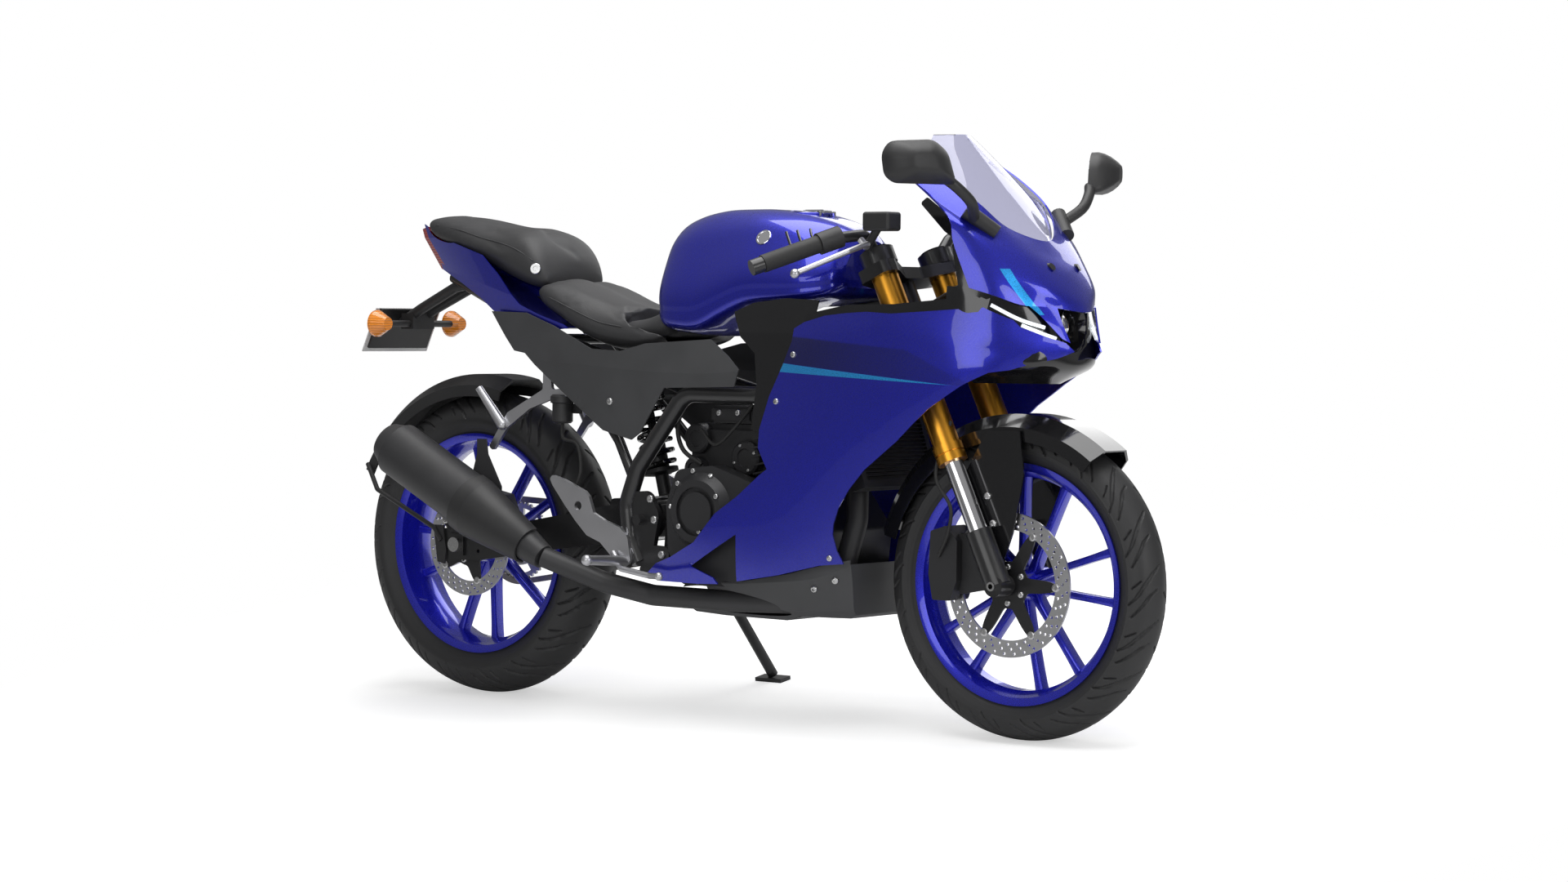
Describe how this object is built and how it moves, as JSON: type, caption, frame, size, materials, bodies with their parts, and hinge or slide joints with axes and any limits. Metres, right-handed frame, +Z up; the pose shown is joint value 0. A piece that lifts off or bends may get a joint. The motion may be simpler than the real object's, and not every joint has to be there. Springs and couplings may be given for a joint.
{
  "type": "sport motorcycle",
  "caption": "Faired sport motorcycle in blue and black, leaning on its side stand, with steering, freely turning wheels, a folding stand and a hinged fuel cap.",
  "frame": {"origin": "middle of the footprint of the leaned machine's bounding box, on the ground", "axes": "+X to the front, +Y to the rider's left, +Z up; the machine leans over to +Y on its side stand"},
  "size_m": [1.9474, 0.77, 1.1472],
  "materials": {
    "aluminium": "satin",
    "amber_lamp": "gloss",
    "black_frame": "satin",
    "blue_paint": "gloss",
    "brake_steel": "satin",
    "chrome": "polished",
    "clear_lamp": "polished",
    "dark_metal": "satin",
    "engine_metal": "satin",
    "gloss_black": "gloss",
    "gold": "satin",
    "grey_plastic": "matte",
    "matte_black": "matte",
    "plate_white": "satin",
    "red_lamp": "gloss",
    "rubber": "matte",
    "screen": "polished",
    "seat_vinyl": "matte",
    "silencer_black": "matte",
    "tyre": "matte"
  },
  "bodies": {
    "chassis": {"main_frame": "black_frame", "subframe": "black_frame", "engine": "engine_metal", "engine_covers": "dark_metal", "radiator": "dark_metal", "exhaust_pipe": "silencer_black", "silencer": "silencer_black", "silencer_shield": "silencer_black", "fuel_tank": "blue_paint", "rider_seat": "seat_vinyl", "pillion_seat": "seat_vinyl", "tail_cowl": "blue_paint", "tail_lamp": "red_lamp", "side_covers": "grey_plastic", "inner_panels": "gloss_black", "side_cowls": "blue_paint", "belly_cowl": "grey_plastic", "upper_cowl": "blue_paint", "windscreen": "screen", "lamp_duct": "gloss_black", "headlamp": "clear_lamp", "instrument": "gloss_black", "nose_stay": "black_frame", "mirrors": "matte_black", "plate_hanger": "matte_black", "number_plate": "plate_white", "indicators": "amber_lamp", "swingarm": "black_frame", "rear_axle": "brake_steel", "rear_guard": "matte_black", "rear_caliper": "dark_metal", "drive_chain": "brake_steel", "rearsets": "aluminium", "pillion_brackets": "aluminium"},
    "steering": {"yokes": "black_frame", "fork_tubes": "gold", "fork_stanchions": "chrome", "fork_bottoms": "black_frame", "front_axle": "brake_steel", "front_guard": "gloss_black", "front_caliper": "dark_metal", "handlebars": "black_frame", "grips": "rubber", "switch_housings": "matte_black", "hand_levers": "aluminium", "brake_reservoir": "matte_black"},
    "front_wheel": {"front_rim": "blue_paint", "front_tyre": "tyre", "front_disc": "brake_steel"},
    "rear_wheel": {"rear_rim": "blue_paint", "rear_tyre": "tyre", "rear_disc": "brake_steel", "rear_sprocket": "brake_steel"},
    "side_stand": {"side_stand": "black_frame"},
    "fuel_cap": {"fuel_cap": "aluminium"}
  },
  "joints": [
    {"name": "steering_turn", "type": "hinge", "parent": "chassis", "child": "steering", "pos_m": [0.41262, -0.01886, 0.77028], "axis": [-0.4226, 0.1418, 0.8951], "range_deg": [-28, 28]},
    {"name": "front_wheel_spin", "type": "hinge", "parent": "steering", "child": "front_wheel", "pos_m": [0.67769, -0.09446, 0.29297], "axis": [0, 0.9877, -0.1564], "continuous": true},
    {"name": "rear_wheel_spin", "type": "hinge", "parent": "chassis", "child": "rear_wheel", "pos_m": [-0.65731, -0.09164, 0.31075], "axis": [0, 0.9877, -0.1564], "continuous": true},
    {"name": "side_stand_fold", "type": "hinge", "parent": "chassis", "child": "side_stand", "pos_m": [-0.14734, 0.01826, 0.22474], "axis": [0, 0.9046, 0.4262], "range_deg": [0, 92]},
    {"name": "fuel_cap_open", "type": "hinge", "parent": "chassis", "child": "fuel_cap", "pos_m": [0.19804, 0.0151, 0.98471], "axis": [0, 0.9877, -0.1564], "range_deg": [0, 95]}
  ]
}
